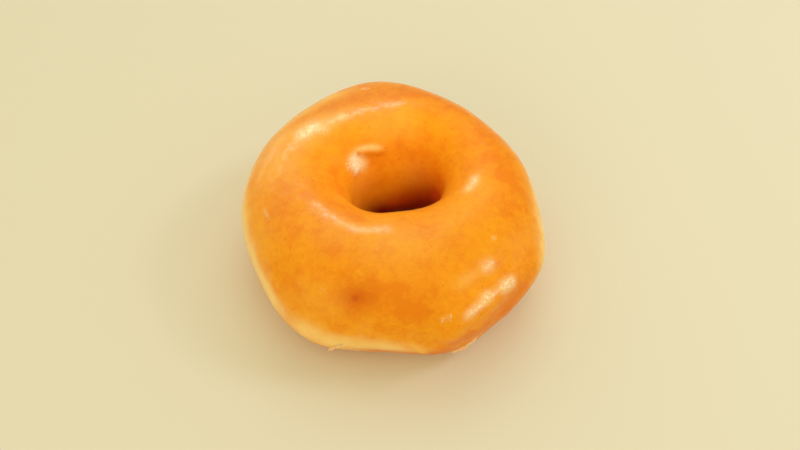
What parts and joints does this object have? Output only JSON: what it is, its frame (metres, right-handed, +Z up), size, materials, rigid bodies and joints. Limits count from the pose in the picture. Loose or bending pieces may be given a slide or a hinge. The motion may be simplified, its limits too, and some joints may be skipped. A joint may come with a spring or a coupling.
{
  "type": "glazed doughnut",
  "caption": "Ring doughnut of raised dough under a clear sugar glaze, a little out of round, with a pressed lip at its side; it rests on its flat underside.",
  "frame": {"origin": "centre of the footprint, at the height of the surface the doughnut rests on", "axes": "+Z up through the hole, -Y towards the side seen first, +X to that side's right"},
  "size_m": [0.0878, 0.091, 0.0381],
  "materials": {
    "glazed_crust": "golden orange fried crust with darker mottling and a pale waist band, under a thin clear sugar glaze with soft gloss"
  },
  "bodies": {
    "root": {"doughnut": "glazed_crust"}
  },
  "joints": []
}
